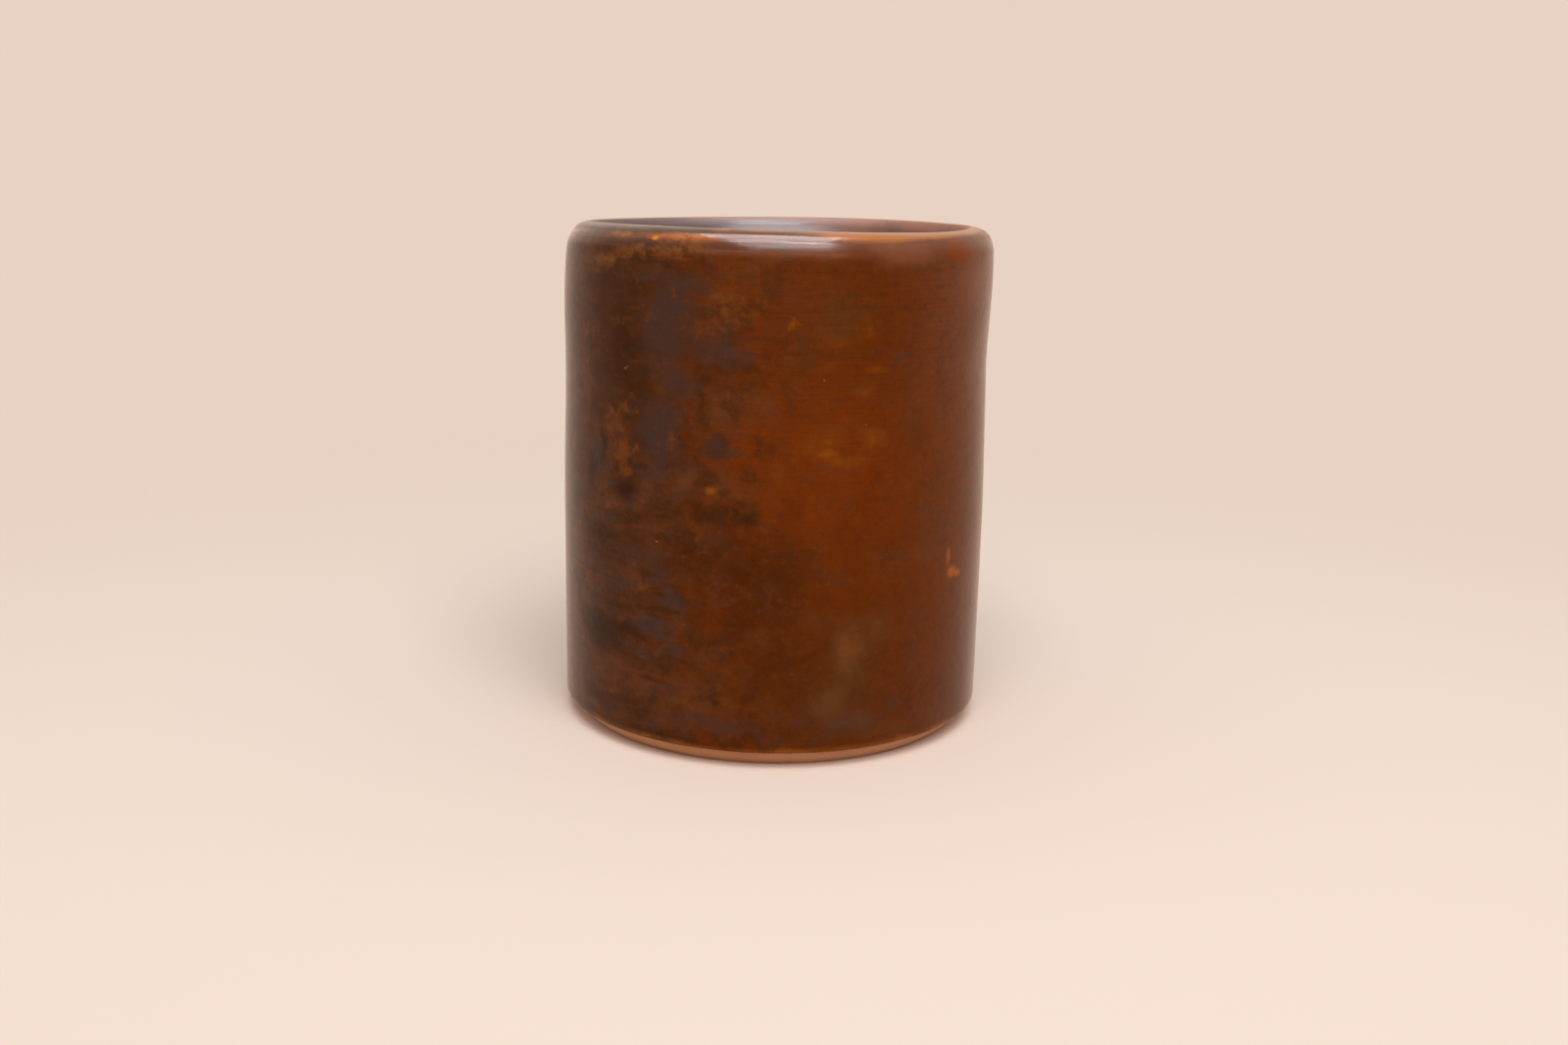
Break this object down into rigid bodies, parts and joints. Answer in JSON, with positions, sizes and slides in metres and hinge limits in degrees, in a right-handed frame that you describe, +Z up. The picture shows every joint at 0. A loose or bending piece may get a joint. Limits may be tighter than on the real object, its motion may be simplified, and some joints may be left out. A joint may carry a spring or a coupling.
{
  "type": "drinking cup",
  "caption": "Handleless straight-sided ceramic tumbler with a rounded shoulder, a bevelled bare-clay foot, and a glossy mottled iron-brown glaze inside and out.",
  "frame": {"origin": "centre of the foot, on the surface the cup stands on", "axes": "+Z up along the cup's axis, -Y towards the viewer of the picture, +X to the viewer's right"},
  "size_m": [0.078, 0.078, 0.09],
  "materials": {
    "bare_clay": "unglazed fired stoneware, fine grain",
    "outer_glaze": "glossy iron-brown glaze, mottled amber to near black",
    "liner_glaze": "glossy dark brown liner glaze"
  },
  "bodies": {
    "root": {"base_disc": "bare_clay", "clay_wall": "bare_clay", "seam_coil": "bare_clay", "outer_glaze": "outer_glaze", "liner_glaze": "liner_glaze"}
  },
  "joints": []
}
